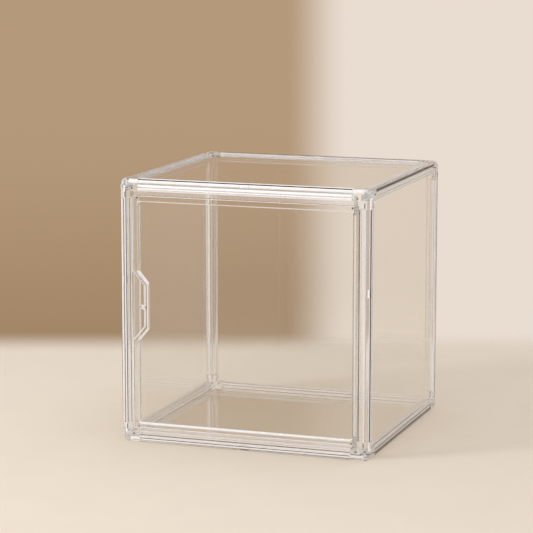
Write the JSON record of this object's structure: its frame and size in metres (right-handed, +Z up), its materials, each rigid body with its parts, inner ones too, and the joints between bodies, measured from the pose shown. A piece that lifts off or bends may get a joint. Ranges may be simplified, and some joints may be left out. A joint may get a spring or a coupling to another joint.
{
  "type": "storage box",
  "caption": "Clear plastic storage box of ribbed bars, corner connectors and slotted-in sheet panels, with a pivoting front door opened by a finger notch.",
  "frame": {"origin": "centre of the base, on the surface that the box stands on", "axes": "+Z up, -Y towards the door, +X towards the hinge side"},
  "size_m": [0.244, 0.232, 0.25],
  "materials": {
    "clear_moulding": "clear moulded polystyrene, polished",
    "clear_sheet": "clear polystyrene sheet, polished",
    "clear_door": "clear moulded polystyrene, polished",
    "clear_pin": "clear polycarbonate, moulded"
  },
  "bodies": {
    "frame": {"corner_front_bottom_left": "clear_moulding", "corner_front_bottom_right": "clear_moulding", "corner_front_top_left": "clear_moulding", "corner_front_top_right": "clear_moulding", "corner_back_bottom_left": "clear_moulding", "corner_back_bottom_right": "clear_moulding", "corner_back_top_left": "clear_moulding", "corner_back_top_right": "clear_moulding", "post_front_left": "clear_moulding", "post_front_right": "clear_moulding", "post_back_left": "clear_moulding", "post_back_right": "clear_moulding", "rail_bottom_front": "clear_moulding", "rail_bottom_back": "clear_moulding", "rail_bottom_left": "clear_moulding", "rail_bottom_right": "clear_moulding", "rail_top_front": "clear_moulding", "rail_top_back": "clear_moulding", "rail_top_left": "clear_moulding", "rail_top_right": "clear_moulding", "panel_top": "clear_sheet", "panel_bottom": "clear_sheet", "panel_left": "clear_sheet", "panel_right": "clear_sheet", "panel_back": "clear_sheet"},
    "door": {"door": "clear_door", "hinge_pin_bottom": "clear_pin", "hinge_pin_top": "clear_pin"}
  },
  "joints": [
    {"name": "door_swing", "type": "hinge", "parent": "frame", "child": "door", "pos_m": [0.1072, -0.112, 0], "axis": [0, 0, 1], "range_deg": [0, 100]}
  ]
}
